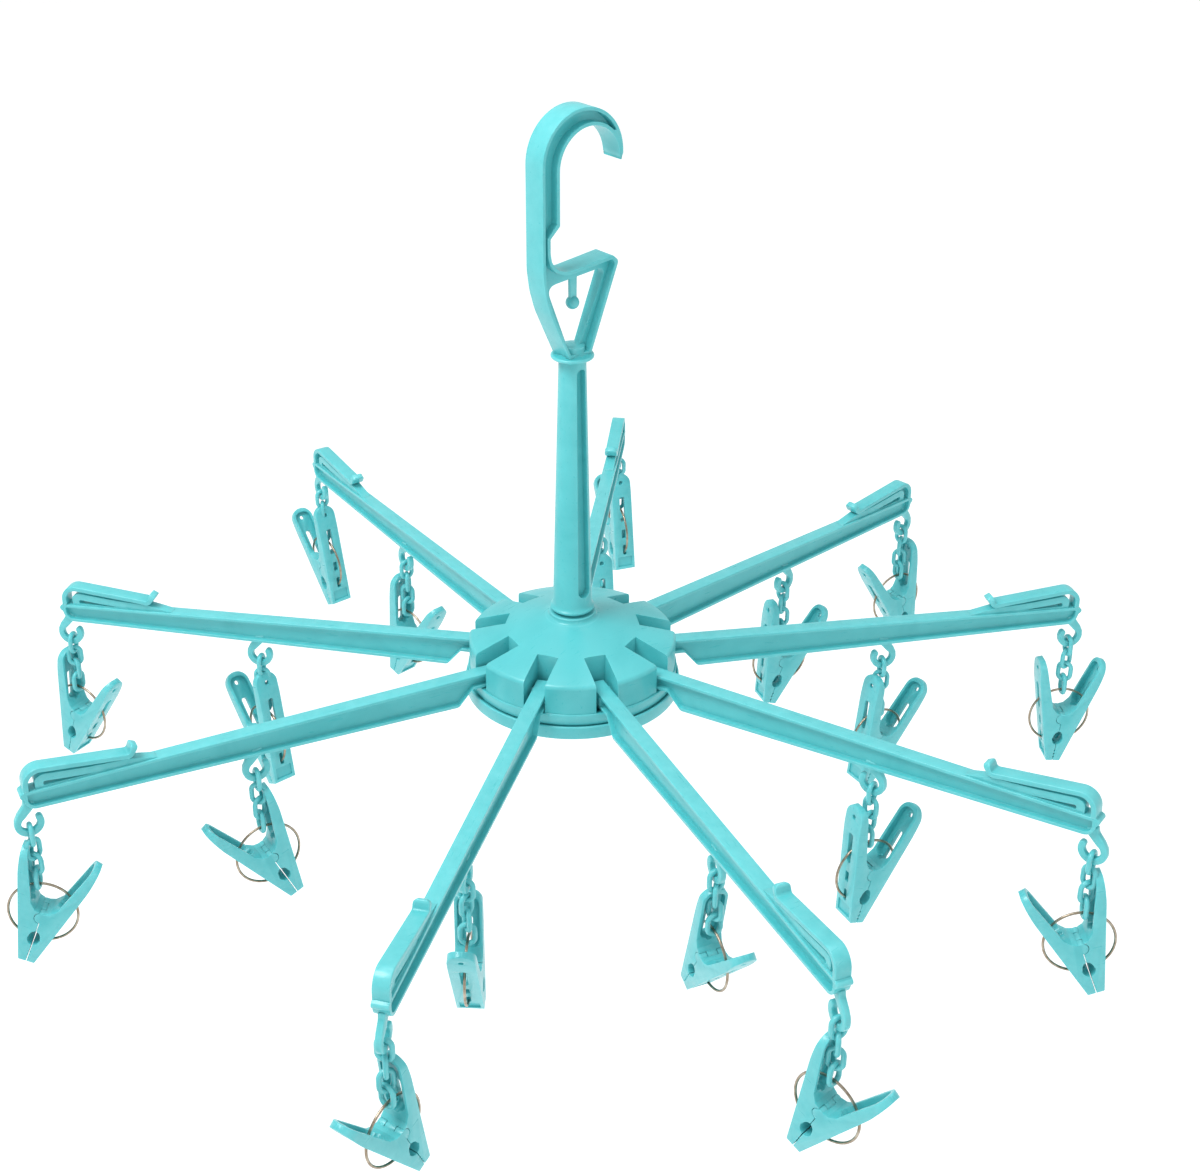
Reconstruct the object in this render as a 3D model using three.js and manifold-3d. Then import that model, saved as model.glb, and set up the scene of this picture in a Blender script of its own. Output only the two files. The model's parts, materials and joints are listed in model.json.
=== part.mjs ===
// Hanging peg dryer that folds like an umbrella: a hook and pole, a hub that spins on the pole,
// nine folding arms, and two chained spring pegs under each arm.
// Millimetres, +Z up. The origin is the seat of the hook, where it rests on top of the rail.
// The rail runs along Y and the hook lies in the XZ plane.
import * as THREE from "three";
import { mergeVertices } from "three/addons/utils/BufferGeometryUtils.js";
import Module from "manifold-3d";

const wasm = await Module();
wasm.setup();

// ---- driving dimensions ----
const rad = THREE.MathUtils.degToRad;
const gap = 0.3; // between pieces that touch
const armCount = 9;
const armPitch = 360 / armCount;
const hubTurn = -31.4; // how far the hub has turned on the pole
const poleX = -5; // the pole stands a little behind the middle of the rail

const hook = { thick: 10.5, rim: 1.5, web: 3.2, innerR: 16, outerR: 21.3 };
const collar = { r: 9.2, top: -96.8, bottom: -98.3 };
const pole = {
  topR: 5.9,
  bottomR: 8.7,
  top: -98.6,
  bottom: -217,
  flangeR: 9.9,
  flangeBottom: -218.7,
  fluteMiddle: 6.7,
};
const spigot = { r: 5.4, bottom: -255.1, boreR: 5.8, pilotR: 2.3, pilotDepth: 18 };

const cap = {
  neckR: 10.5,
  neckTop: -220,
  coneTop: -222.5,
  edgeR: 46.9,
  edgeZ: -233.1,
  wallBottom: -247,
  skirtR: 47.6,
  bottom: -252.1,
  wall: 1.8,
};
const slot = { width: 10, innerR: 30 };
const base = { r: 48.8, top: -252.4, plate: 2.2, bottom: -258.8, bossR: 11 };
const washer = { r: 8.5, top: -255.5, bottom: -256.5 };
const screw = { headR: 3.8, headBottom: -258.6, shankR: 1.9, top: -244 };

// Arm, in its own frame: the pivot is the origin and X points outwards.
const pivot = { r: 36.5, z: -243, pinR: 1.6, holeR: 2.6 };
const arm = {
  length: 213.5,
  inner: -4.5,
  topAtPivot: 3.8,
  topSlope: -0.0286,
  shallow: -3.4,
  deep: -11,
  stepStart: 15.5,
  stepEnd: 22,
  width: 6.8,
  web: 1.8,
  flange: 1.4,
  tipRound: 5,
};
// How far each arm stands off the middle of its loose slot, in degrees.
const armYaw = [4.7, -5.5, -6, -6, -1.7, -3.4, 6.4, 4.1, -3.9];
// How far each arm has sprung up from level, in degrees.
const armLift = [-1, -0.7, 0.8, 0.7, -0.2, 0.6, 0.7, 1.2, 3];

const tongue = { thick: 1.4, rise: 9.8, bend: 6, width: 6.8, reach: 46, lift: 3.2, curl: 5, base: 4.4 };
// The sprung rib under the tongue: heights stand on the arm's top, back from the arm's tip.
const ridge = { width: 3.6, back: 5.2, height: 7, lipHeight: 3.1, end: 56 };
const eye = { outerR: 6.2, innerR: 3.3, thick: 2.6, drop: 8 };
const eyeX = { outer: 212.5, inner: 115.5 };

const link = { count: 4, wire: 2.2, width: 8.8, length: 11.6, seat: 1 };
const ring = { r: 14.7, wire: 1.2, openFrom: -61, openTo: 251 };
const leg = {
  width: 11.5,
  length: 57,
  half: 14.7, // each handle leans this many degrees off the middle of the closed peg
  jaw: 3.5,
  belowRing: 23.6,
  top: 3.2,
  crotch: 5.4,
  fulcrum: 24,
  knuckleR: 2.6,
  knuckle: 2.2,
};
const channel = { depth: 1.8, side: 1.2 };

// How each peg hangs at rest: yaw is the way its open side faces, from +X towards +Y, tilt leans it
// to that side, roll leans it sideways, and slide is how far its ring has run past the chain.
const hang = (yaw, tilt, roll = 0, slide = 0) => ({ yaw, tilt, roll, slide });
const outerPegs = [
  hang(-35.4, 5),
  hang(169.6, 17),
  hang(69.6, 25),
  hang(86, 25, -2),
  hang(-72.4, 19),
  hang(-40.4, 22),
  hang(193, 25, 0, -2),
  hang(-84, 25, 0, -2),
  hang(139.6, 21),
];
const innerPegs = [
  hang(-10, 21),
  hang(-20.4, 17),
  hang(64.6, 25),
  hang(-85.4, 18),
  hang(91, 25),
  hang(169.6, 25, 0, -2),
  hang(-134, 16),
  hang(-106, 29, 0, -2),
  hang(-14, 16),
];

// ---- materials ----
const turquoise = { color: 0x5fd0d6, roughness: 0.32, metalness: 0 };
const steel = { color: 0xb9b1a4, roughness: 0.3, metalness: 1 };

// ---- solids ----
const axisX = new THREE.Vector3(1, 0, 0);
const axisY = new THREE.Vector3(0, 1, 0);
const axisZ = new THREE.Vector3(0, 0, 1);

function solid(geometry) {
  const bare = geometry.index ? geometry.toNonIndexed() : geometry.clone();
  bare.deleteAttribute("normal");
  bare.deleteAttribute("uv");
  const merged = mergeVertices(bare, 1e-4);
  return new wasm.Manifold(
    new wasm.Mesh({
      numProp: 3,
      vertProperties: new Float32Array(merged.attributes.position.array),
      triVerts: new Uint32Array(merged.index.array),
    }),
  );
}

function joined(...solids) {
  return solids.reduce((whole, piece) => whole.add(piece));
}

function cut(whole, ...tools) {
  return tools.reduce((rest, tool) => rest.subtract(tool), whole);
}

function geometryOf(body) {
  const made = body.getMesh();
  const geometry = new THREE.BufferGeometry();
  geometry.setAttribute("position", new THREE.BufferAttribute(made.vertProperties, 3));
  geometry.setIndex(new THREE.BufferAttribute(made.triVerts, 1));
  const faceted = geometry.toNonIndexed();
  faceted.computeVertexNormals();
  return faceted;
}

function place(geometry, { x = 0, y = 0, z = 0, turn = 0, axis = axisZ }) {
  const matrix = new THREE.Matrix4().makeRotationAxis(axis, rad(turn));
  matrix.setPosition(x, y, z);
  return geometry.applyMatrix4(matrix);
}

// A plate standing in the XZ plane: outline points are [x, z], and y is its middle.
function plateGeometry(points, thick, y = 0) {
  const outline = new THREE.Shape(points.map(([px, pz]) => new THREE.Vector2(px, pz)));
  const geometry = new THREE.ExtrudeGeometry(outline, { depth: thick, bevelEnabled: false });
  geometry.rotateX(Math.PI / 2);
  return geometry.translate(0, y + thick / 2, 0);
}

function plate(points, thick, y = 0) {
  return solid(plateGeometry(points, thick, y));
}

function block(x0, x1, y0, y1, z0, z1) {
  const geometry = new THREE.BoxGeometry(x1 - x0, y1 - y0, z1 - z0);
  return solid(geometry.translate((x0 + x1) / 2, (y0 + y1) / 2, (z0 + z1) / 2));
}

// A turned body about Z: profile points are [radius, z], from the lowest on the axis to the highest.
function turned(points, segments) {
  const profile = points.map(([r, z]) => new THREE.Vector2(r, z));
  return solid(new THREE.LatheGeometry(profile, segments).rotateX(Math.PI / 2));
}

function rod(radius, z0, z1, segments) {
  return turned([[0, z0], [radius, z0], [radius, z1], [0, z1]], segments);
}

// A round bar along Y, from y0 to y1, with its middle at (x, z).
function crossBar(radius, y0, y1, x, z, segments) {
  const geometry = new THREE.CylinderGeometry(radius, radius, y1 - y0, segments);
  return solid(geometry.translate(x, (y0 + y1) / 2, z));
}

// Points [x, z] on an arc about (cx, cz), by angle from +X towards +Z.
function arc(cx, cz, radius, from, to, steps) {
  return Array.from({ length: steps + 1 }, (_, i) => {
    const a = rad(from + ((to - from) * i) / steps);
    return [cx + radius * Math.cos(a), cz + radius * Math.sin(a)];
  });
}

// ---- hook ----
function buildHook() {
  const seat = -hook.innerR; // height of the middle of the arch
  const back = -25;
  // The lower rest rises to the tip on one side and curves up into the throat on the other.
  const rest = [[12.6, -56.6], [-11.4, -58.3], [-16.4, -56.5], [-19.9, -53.2], [-21, -49]];
  const restBelow = [[12.4, -58.2], [-11.2, -59.8], [-17, -57.8], [-21.2, -54], [-22.5, -49.5]];
  const outline = [
    ...arc(-3.7, -13.3, hook.outerR, -10, 180, 12),
    [back, -57],
    [-23.7, -66],
    [-21, -75],
    [-11.2, collar.top],
    [1.2, collar.top],
    [15.4, -59],
    ...rest,
    [-21, -42.4],
    [-hook.innerR, -38],
    ...arc(0, seat, hook.innerR, 180, -5, 10),
  ];
  const pocket = [
    ...arc(-3.7, -13.3, hook.outerR - hook.rim, 28, 180, 10),
    [back + hook.rim, -57],
    [-22.2, -66.2],
    [-19.4, -75.4],
    [-10.3, -95.2],
    [0.1, -95.2],
    [13.6, -60],
    ...restBelow,
    [-22.6, -42],
    [-hook.innerR - hook.rim, -37],
    ...arc(0, seat, hook.innerR + hook.rim, 180, 44, 8),
  ];
  const window = [
    [-18.9, -67.2],
    [-18.2, -64.4],
    [-15.6, -63.5],
    [8.6, -61.9],
    [10.4, -63.4],
    [9.8, -67],
    [-1.6, -90.6],
    [-3.8, -93],
    [-7.4, -93.2],
    [-9.3, -91.6],
  ];
  const depth = (hook.thick - hook.web) / 2;
  const face = hook.web / 2 + depth / 2;
  const body = cut(
    plate(outline, hook.thick),
    plate(window, hook.thick + 2),
    plate(pocket, depth + 0.02, face + 0.01),
    plate(pocket, depth + 0.02, -face - 0.01),
  );
  const pin = { half: 1.7, thick: 0.9, top: -61, ballR: 2.9, ballZ: -74.2 };
  const ball = new THREE.SphereGeometry(pin.ballR, 10, 8).rotateX(Math.PI / 2);
  const hungPin = joined(
    block(poleX - pin.half, poleX + pin.half, -pin.thick, pin.thick, pin.ballZ, pin.top),
    solid(ball.translate(poleX, 0, pin.ballZ)),
  );
  const disc = turned(
    [[0, collar.bottom], [collar.r, collar.bottom], [collar.r, collar.top + 0.02], [0, collar.top + 0.02]],
    24,
  );
  const plug = rod(2.6, collar.bottom - 12, collar.bottom + 0.1, 12);
  const foot = place(geometryOf(joined(disc, plug)), { x: poleX });
  return joined(body, hungPin, solid(foot));
}

// ---- pole ----
function buildPole() {
  const body = turned(
    [
      [0, spigot.bottom],
      [spigot.r, spigot.bottom],
      [spigot.r, pole.flangeBottom],
      [pole.flangeR, pole.flangeBottom],
      [pole.flangeR, pole.bottom],
      [pole.bottomR, pole.bottom],
      [pole.topR, pole.top],
      [0, pole.top],
    ],
    24,
  );
  const middle = (pole.top + pole.bottom) / 2;
  const channelTop = [...arc(0, pole.top - 6, 2.2, 0, 180, 6)];
  const channelFoot = [...arc(0, pole.bottom + 9, 3.1, 180, 360, 6)];
  const flutes = [1, -1].map((side) => {
    const flute = plateGeometry([...channelTop, ...channelFoot], 6);
    const lean = side * THREE.MathUtils.radToDeg(Math.atan((pole.bottomR - pole.topR) / (pole.top - pole.bottom)));
    flute.translate(0, side * pole.fluteMiddle, -middle);
    return solid(place(flute, { z: middle, turn: lean, axis: axisX }));
  });
  const socket = rod(2.6 + gap, pole.top - 13, pole.top + 1, 12);
  const pilot = rod(spigot.pilotR, spigot.bottom - 1, spigot.bottom + spigot.pilotDepth, 12);
  return cut(body, ...flutes, socket, pilot);
}

// ---- hub ----
function aroundHub(make) {
  return Array.from({ length: armCount }, (_, i) => {
    const turn = hubTurn + armPitch * i;
    return solid(place(geometryOf(make()), { turn }));
  });
}

function buildHubCap() {
  const round = 36;
  const slope = (cap.edgeZ - cap.coneTop) / (cap.edgeR - cap.neckR);
  const shape = [
    [0, cap.bottom],
    [cap.skirtR, cap.bottom],
    [cap.skirtR, cap.wallBottom - 0.6],
    [cap.edgeR, cap.wallBottom],
    [cap.edgeR, cap.edgeZ - 0.8],
    [cap.edgeR - 1.2, cap.edgeZ + 0.3],
    [cap.neckR, cap.coneTop],
    [cap.neckR, cap.neckTop],
    [0, cap.neckTop],
  ];
  const outside = turned(shape, round);
  const roof = 2;
  const tubeR = 8.6;
  const insideR = cap.edgeR - cap.wall;
  const inside = turned(
    [
      [tubeR, cap.bottom - 1],
      [insideR, cap.bottom - 1],
      [insideR, cap.coneTop - roof + slope * (insideR - cap.neckR)],
      [tubeR, cap.coneTop - roof],
      [tubeR, cap.bottom - 1],
    ],
    round,
  );
  const wallY = slot.width / 2 + cap.wall;
  const boxes = aroundHub(() =>
    block(slot.innerR - cap.wall, insideR + 0.5, -wallY, wallY, cap.bottom, cap.neckTop),
  );
  const half = slot.width / 2;
  const voids = aroundHub(() =>
    joined(
      block(slot.innerR, insideR - 0.01, -half, half, cap.bottom - 1, cap.neckTop + 1),
      block(insideR - 1, base.r, -half, half, cap.wallBottom, cap.neckTop + 1),
    ),
  );
  const seats = aroundHub(() =>
    joined(
      crossBar(pivot.holeR, -wallY - 1, wallY + 1, pivot.r, pivot.z, 8),
      block(pivot.r - pivot.holeR, pivot.r + pivot.holeR, -wallY - 1, wallY + 1, cap.bottom - 1, pivot.z),
    ),
  );
  const walls = outside.intersect(joined(...boxes));
  const bore = rod(spigot.boreR, cap.bottom - 1, cap.neckTop + 1, 24);
  return cut(joined(cut(outside, inside), walls), ...voids, ...seats, bore);
}

function buildHubBase() {
  const round = 36;
  const skirt = 2;
  const plateBottom = base.top - base.plate;
  const ringWall = turned(
    [
      [0, base.bottom],
      [base.r, base.bottom],
      [base.r, base.top - 0.8],
      [base.r - 0.8, base.top],
      [0, base.top],
    ],
    round,
  );
  const hollow = turned(
    [
      [base.bossR, base.bottom - 1],
      [base.r - skirt, base.bottom - 1],
      [base.r - skirt, plateBottom],
      [base.bossR, plateBottom],
      [base.bossR, base.bottom - 1],
    ],
    round,
  );
  const pocket = rod(washer.r + 1, base.bottom - 1, washer.top + gap, 24);
  const bore = rod(spigot.boreR, washer.top - 1, base.top + 1, 24);
  const inner = slot.width / 2 + 0.2;
  const outer = slot.width / 2 + cap.wall - 0.2;
  const reach = pivot.holeR - gap;
  const posts = aroundHub(() =>
    joined(
      block(pivot.r - reach, pivot.r + reach, inner, outer, base.top - 1, pivot.z - 2.2),
      block(pivot.r - reach, pivot.r + reach, -outer, -inner, base.top - 1, pivot.z - 2.2),
      block(pivot.r - reach, pivot.r + reach, -outer, outer, base.top - 1, base.top - 0.5),
    ),
  );
  return joined(cut(ringWall, hollow, pocket, bore), ...posts);
}

function buildWasher() {
  return cut(rod(washer.r, washer.bottom, washer.top, 24), rod(spigot.pilotR, -260, -250, 12));
}

function buildScrew() {
  const body = turned(
    [
      [0, screw.headBottom],
      [screw.headR - 0.8, screw.headBottom],
      [screw.headR, screw.headBottom + 0.8],
      [screw.headR, washer.bottom - gap],
      [screw.shankR, washer.bottom - gap],
      [screw.shankR, screw.top],
      [0, screw.top + 1.5],
    ],
    16,
  );
  const slotWide = 0.6;
  const drive = joined(
    block(-2.4, 2.4, -slotWide, slotWide, screw.headBottom - 1, screw.headBottom + 0.9),
    block(-slotWide, slotWide, -2.4, 2.4, screw.headBottom - 1, screw.headBottom + 0.9),
  );
  return cut(body, drive);
}

// ---- arms ----
const armTop = (x) => arm.topAtPivot + arm.topSlope * x;

// The eye is an open C under the arm: its shank is on the outer side and its mouth faces the hub.
function eyeOutline(x) {
  const z = arm.deep - eye.drop;
  return [
    [x - 3, arm.deep + 2.6],
    [x - 3, arm.deep - 0.2],
    ...arc(x, z, eye.innerR, 62, -215, 6),
    ...arc(x, z, eye.outerR, -205, 0, 5),
    [x + 4.6, z + 4.4],
    [x + 1.4, arm.deep + 1],
    [x + 1.4, arm.deep + 2.6],
  ];
}

function buildArm() {
  const { length, inner, shallow, deep, stepStart, stepEnd, flange, tipRound } = arm;
  const outline = [
    [inner, shallow + 1],
    [inner + 1, shallow],
    [stepStart, shallow],
    [stepEnd, deep],
    ...arc(length - tipRound, deep + tipRound, tipRound, 270, 360, 4),
    [length + 1.4, armTop(length) - 2.4],
    [length + 1.4, armTop(length) - 0.8],
    [length, armTop(length)],
    [inner + 1, armTop(inner + 1)],
    [inner, armTop(inner) - 1],
  ];
  const pocket = [
    [8, shallow + flange],
    [stepStart - flange / 2, shallow + flange],
    [stepEnd - flange / 2, deep + flange],
    ...arc(length - tipRound, deep + tipRound, tipRound - flange, 270, 360, 3),
    [length - flange, armTop(length) - flange],
    [8, armTop(8) - flange],
  ];
  const depth = (arm.width - arm.web) / 2;
  const pocketY = arm.web / 2 + depth / 2 + 0.01;
  const beam = cut(
    plate(outline, arm.width),
    plate(pocket, depth + 0.02, pocketY),
    plate(pocket, depth + 0.02, -pocketY),
  );
  const onTop = (back, height) => [length - back, armTop(length - back) + height];
  const ridgeOutline = [
    onTop(ridge.end, -0.6),
    onTop(ridge.back, -0.6),
    onTop(ridge.back, ridge.height - 2.2),
    onTop(ridge.back + 2.2, ridge.height),
    onTop(tongue.reach, ridge.lipHeight),
    onTop(ridge.end, 0.3),
  ];
  const ridgeSlit = [onTop(27, 0.35), onTop(8, 0.35), onTop(7.4, 3.6), onTop(14, 3.3)];
  const pinHalf = slot.width / 2 + cap.wall - gap;
  return joined(
    beam,
    cut(plate(ridgeOutline, ridge.width), plate(ridgeSlit, ridge.width + 1)),
    plate(eyeOutline(eyeX.outer), eye.thick),
    plate(eyeOutline(eyeX.inner), eye.thick),
    crossBar(pivot.pinR, -pinHalf, pinHalf, 0, 0, 8),
  );
}

// The tongue springs up from the arm's tip and folds back over the rib, with a curled lip.
function buildTongue() {
  const { thick, rise, bend, base: foot, reach, lift, curl } = tongue;
  const end = arm.length;
  const floor = armTop(end) + gap;
  const top = floor + rise;
  const lip = { x: end - reach, z: armTop(end - reach) + gap + lift };
  const outline = [
    [end - foot, floor],
    [end, floor],
    ...arc(end - bend, top - bend, bend, 0, 84, 5),
    [lip.x + 2, lip.z + thick],
    [lip.x - 0.6, lip.z + curl],
    [lip.x - 2.2, lip.z + curl],
    [lip.x, lip.z],
    [lip.x + 3, lip.z],
    ...arc(end - bend, top - bend, bend - thick, 84, 0, 4),
    [end - thick, floor + 1.6],
  ];
  return plate(outline, tongue.width);
}

// ---- pegs ----
// A peg's own frame: the middle of its spring ring is the origin, Z up, and it opens in the XZ plane.
const sinHalf = Math.sin(rad(leg.half));
const cosHalf = Math.cos(rad(leg.half));
const fulcrumZ = leg.fulcrum - leg.belowRing;

// A point on the leg: up is the distance along its outer face from the jaw, and deep is inwards from it.
function onLeg(up, deep) {
  return [
    leg.jaw + up * sinHalf - deep * cosHalf,
    up * cosHalf + deep * sinHalf - leg.belowRing,
  ];
}

// One leg on the +X side. The leg with the spring has the middle knuckle, the free one the outer two.
function buildLeg(middleKnuckle) {
  const halfWidth = leg.width / 2;
  const split = gap / 2;
  const z = (height) => height - leg.belowRing;
  const outline = [
    [split, z(0)],
    [leg.jaw, z(0)],
    onLeg(leg.length, 0),
    onLeg(leg.length, leg.top),
    onLeg(30, leg.crotch),
    [3.4, z(27.4)],
    [split, z(26.2)],
    [split, z(16.8)],
    [2.6, z(14.8)],
    [2.6, z(12.2)],
    [split, z(9.8)],
  ];
  const face = new THREE.Shape();
  face.moveTo(-1, -halfWidth);
  face.lineTo(leg.length - halfWidth, -halfWidth);
  face.absarc(leg.length - halfWidth, 0, halfWidth, -Math.PI / 2, Math.PI / 2);
  face.lineTo(-1, halfWidth);
  const faceSolid = new THREE.ExtrudeGeometry(face, { depth: 30, bevelEnabled: false, curveSegments: 3 });
  faceSolid.translate(0, 0, -5).rotateY(-Math.PI / 2).rotateY(rad(leg.half));
  faceSolid.translate(leg.jaw, 0, -leg.belowRing);
  const body = plate(outline, leg.width).intersect(solid(faceSolid));

  const alongLeg = (from, to, deepFrom, deepTo) => [
    onLeg(from, deepFrom),
    onLeg(to, deepFrom),
    onLeg(to, deepTo),
    onLeg(from, deepTo),
  ].reverse();
  const hollowY = leg.width - 2 * channel.side;
  const hollow = plate(alongLeg(30, leg.length - 2.4, leg.top - channel.depth, 8), hollowY);
  const wireSlot = plate(alongLeg(31, 45, -1, 8), 3.2);
  const seatHole = plate([[-1, z(7.4)], [12, z(6.8)], [12, z(17)], [-1, z(15.4)]], 2.8);

  const knuckleY = leg.knuckle;
  const sideFrom = knuckleY + gap;
  const middle = (radius, half) => crossBar(radius, -half, half, 0, fulcrumZ, 8);
  const sides = (radius, from) => [
    crossBar(radius, from, halfWidth + (radius > leg.knuckleR ? 1 : 0), 0, fulcrumZ, 8),
    crossBar(radius, -halfWidth - (radius > leg.knuckleR ? 1 : 0), -from, 0, fulcrumZ, 8),
  ];
  const clearR = leg.knuckleR + gap;
  const trimmed = cut(body, hollow, wireSlot);
  if (middleKnuckle) return joined(cut(trimmed, ...sides(clearR, knuckleY)), middle(leg.knuckleR, knuckleY));
  return joined(cut(trimmed, seatHole, middle(clearR, sideFrom)), ...sides(leg.knuckleR, sideFrom));
}

class RingPath extends THREE.Curve {
  getPoint(t, target = new THREE.Vector3()) {
    const a = rad(ring.openFrom + (ring.openTo - ring.openFrom) * t);
    return target.set(ring.r * Math.cos(a), 0, ring.r * Math.sin(a));
  }
}

function buildRing() {
  const section = new THREE.Shape(arc(0, 0, ring.wire / 2, 30, 270, 2).map(([x, y]) => new THREE.Vector2(x, y)));
  return solid(new THREE.ExtrudeGeometry(section, { steps: 12, bevelEnabled: false, extrudePath: new RingPath() }));
}

// An oval link standing in the XZ plane, with its middle at the origin.
function linkGeometry() {
  const wire = link.wire / 2;
  const sides = 6;
  const geometry = new THREE.TorusGeometry(link.width / 2 - wire, wire, 4, sides);
  geometry.rotateZ(Math.PI / sides).rotateX(Math.PI / 2);
  const stretch = (link.length - link.width) / 2;
  const points = geometry.attributes.position;
  for (let i = 0; i < points.count; i++) {
    const z = points.getZ(i);
    points.setZ(i, z + Math.sign(z) * stretch);
  }
  return geometry;
}

// The chain hangs from the eye at the origin. Each link stands across the one above it,
// and the chain twists evenly to bring the last link across the peg.
const linkPitch = link.length - 2 * link.wire + 0.1;
const ringDrop = (link.count - 1) * linkPitch + link.length - link.wire * 1.5 - ring.wire / 2 + 0.15;

function buildChain(firstYaw, lastYaw) {
  const turns = link.count - 1;
  let twist = (lastYaw - firstYaw - 90 * turns) % 180;
  if (twist > 90) twist -= 180;
  if (twist < -90) twist += 180;
  const links = Array.from({ length: link.count }, (_, i) => {
    const turn = firstYaw + i * (90 + twist / turns);
    const z = link.wire / 2 - link.length / 2 - i * linkPitch;
    return solid(place(linkGeometry(), { turn, z }));
  });
  return joined(...links);
}

function mirrored(geometry) {
  return place(geometry, { turn: 180 });
}

const freeLeg = geometryOf(buildLeg(false));
const springLeg = mirrored(geometryOf(buildLeg(true)));
const springRing = geometryOf(buildRing());
const clip = geometryOf(buildTongue());
const armBody = geometryOf(buildArm());

// ---- assembly ----
const group = new THREE.Group();

function addMesh(parent, name, geometry, finish = turquoise) {
  const mesh = new THREE.Mesh(geometry, new THREE.MeshStandardMaterial(finish));
  mesh.name = name;
  parent.add(mesh);
  return mesh;
}

addMesh(group, "hook", geometryOf(buildHook()));
const column = new THREE.Group();
column.position.x = poleX;
group.add(column);
addMesh(column, "pole", geometryOf(buildPole()));
addMesh(column, "hub_cap", geometryOf(buildHubCap()));
addMesh(column, "hub_base", geometryOf(buildHubBase()));
addMesh(column, "retaining_washer", geometryOf(buildWasher()), steel);
addMesh(column, "retaining_screw", geometryOf(buildScrew()), steel);

// A peg and its chain under the eye that is x along its arm, which points in armDirection degrees.
function addPeg(parent, name, x, lift, hanging, armDirection) {
  const { yaw, tilt, roll, slide } = hanging;
  const eyeMiddle = new THREE.Vector3(x, 0, arm.deep - eye.drop).applyAxisAngle(axisY, rad(-lift));
  const top = new THREE.Group();
  top.position.copy(eyeMiddle);
  top.position.z += link.wire / 2 + link.seat - eye.innerR;
  parent.add(top);
  const across = axisY.clone().applyAxisAngle(axisX, rad(roll)).applyAxisAngle(axisY, rad(tilt));
  const ringTop = axisZ.clone().addScaledVector(across, -across.z).setLength(ring.r);
  const middle = { x: slide - ringTop.x, y: -ringTop.y, z: -ringDrop - ringTop.z };
  middle.z += ring.r - Math.sqrt(ring.r ** 2 - slide ** 2);
  const pose = (geometry) => {
    const rolled = place(geometry.clone(), { turn: roll, axis: axisX });
    const leaned = place(rolled, { turn: tilt, axis: axisY });
    return place(place(leaned, middle), { turn: yaw - armDirection });
  };
  const chain = buildChain(90, yaw - armDirection + 90);
  const spring = joined(solid(pose(springLeg)), solid(pose(springRing)), chain);
  addMesh(top, name + "_spring_leg", geometryOf(spring));
  addMesh(top, name + "_free_leg", pose(freeLeg));
}

for (let i = 0; i < armCount; i++) {
  const number = i + 1;
  const direction = hubTurn + armPitch * i;
  const spoke = new THREE.Group();
  spoke.rotation.z = rad(direction);
  column.add(spoke);
  const level = new THREE.Group();
  level.position.set(pivot.r, 0, pivot.z);
  level.rotation.z = rad(armYaw[i]);
  spoke.add(level);
  const armGroup = new THREE.Group();
  armGroup.rotation.y = rad(-armLift[i]);
  level.add(armGroup);
  addMesh(armGroup, "arm_" + number, armBody);
  addMesh(armGroup, "clip_tongue_" + number, clip);
  addPeg(level, "outer_peg_" + number, eyeX.outer, armLift[i], outerPegs[i], direction + armYaw[i]);
  addPeg(level, "inner_peg_" + number, eyeX.inner, armLift[i], innerPegs[i], direction + armYaw[i]);
}

export default group;
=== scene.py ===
import json
import math

import bmesh
import bpy
from mathutils import Matrix, Vector


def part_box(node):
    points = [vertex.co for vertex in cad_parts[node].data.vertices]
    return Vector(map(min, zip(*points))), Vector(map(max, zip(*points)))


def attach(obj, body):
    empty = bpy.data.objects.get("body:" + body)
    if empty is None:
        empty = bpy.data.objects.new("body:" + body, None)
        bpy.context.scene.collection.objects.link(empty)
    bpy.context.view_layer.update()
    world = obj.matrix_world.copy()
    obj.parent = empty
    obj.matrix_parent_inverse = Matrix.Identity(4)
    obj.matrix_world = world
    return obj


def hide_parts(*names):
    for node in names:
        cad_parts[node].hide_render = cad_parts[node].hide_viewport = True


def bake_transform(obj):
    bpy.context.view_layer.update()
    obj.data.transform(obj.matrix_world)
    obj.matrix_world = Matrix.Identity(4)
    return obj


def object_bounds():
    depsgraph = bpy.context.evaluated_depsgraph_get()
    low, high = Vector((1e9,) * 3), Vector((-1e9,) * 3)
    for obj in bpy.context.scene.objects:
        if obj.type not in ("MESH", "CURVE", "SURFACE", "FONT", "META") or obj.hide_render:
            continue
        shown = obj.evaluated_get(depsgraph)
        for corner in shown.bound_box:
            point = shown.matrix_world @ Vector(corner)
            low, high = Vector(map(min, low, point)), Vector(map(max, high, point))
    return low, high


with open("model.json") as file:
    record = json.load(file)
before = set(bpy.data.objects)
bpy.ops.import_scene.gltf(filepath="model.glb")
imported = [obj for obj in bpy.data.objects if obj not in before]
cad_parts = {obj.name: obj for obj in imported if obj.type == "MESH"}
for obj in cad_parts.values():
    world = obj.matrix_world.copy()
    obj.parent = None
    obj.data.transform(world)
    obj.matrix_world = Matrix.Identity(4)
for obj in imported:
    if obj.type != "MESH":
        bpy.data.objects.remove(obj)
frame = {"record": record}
cad_low, cad_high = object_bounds()

MM = 0.001
rad = math.radians
joints = {j["name"]: j for j in frame["record"]["behaviour"]["joints"]}
pole_low, pole_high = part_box("pole")
POLE_X = (pole_low.x + pole_high.x) / 2 / MM

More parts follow.
